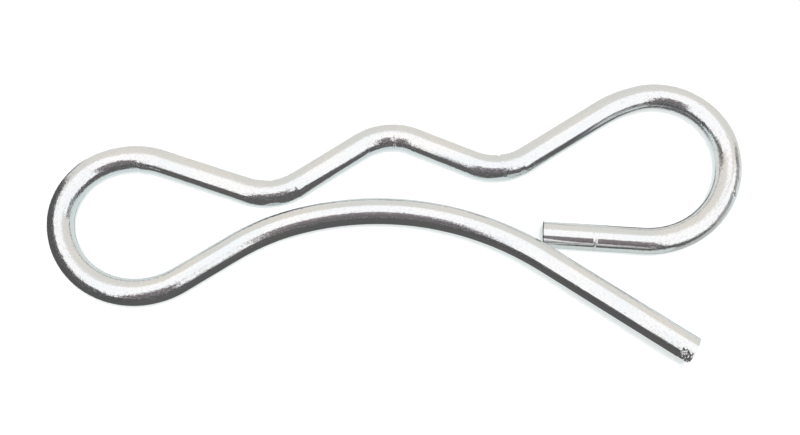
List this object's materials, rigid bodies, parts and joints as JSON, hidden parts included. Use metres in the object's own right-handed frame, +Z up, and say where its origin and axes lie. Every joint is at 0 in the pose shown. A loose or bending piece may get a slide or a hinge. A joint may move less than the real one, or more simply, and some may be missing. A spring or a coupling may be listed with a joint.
{
  "type": "cotter pin",
  "caption": "Double-loop hairpin cotter bent from a single round spring wire: closed loop, crowned upper arm, open hook with a cut tip, and an arched straight leg.",
  "frame": {"origin": "centre of the footprint on the surface the pin lies on", "axes": "+X from the closed loop to the hook, +Y towards the back of the upper arm, +Z up"},
  "size_m": [0.0809, 0.0345, 0.005],
  "materials": {
    "zinc_wire": "bright clear zinc plate over drawn spring steel wire"
  },
  "bodies": {
    "root": {"cotter_pin": "zinc_wire"}
  },
  "joints": []
}
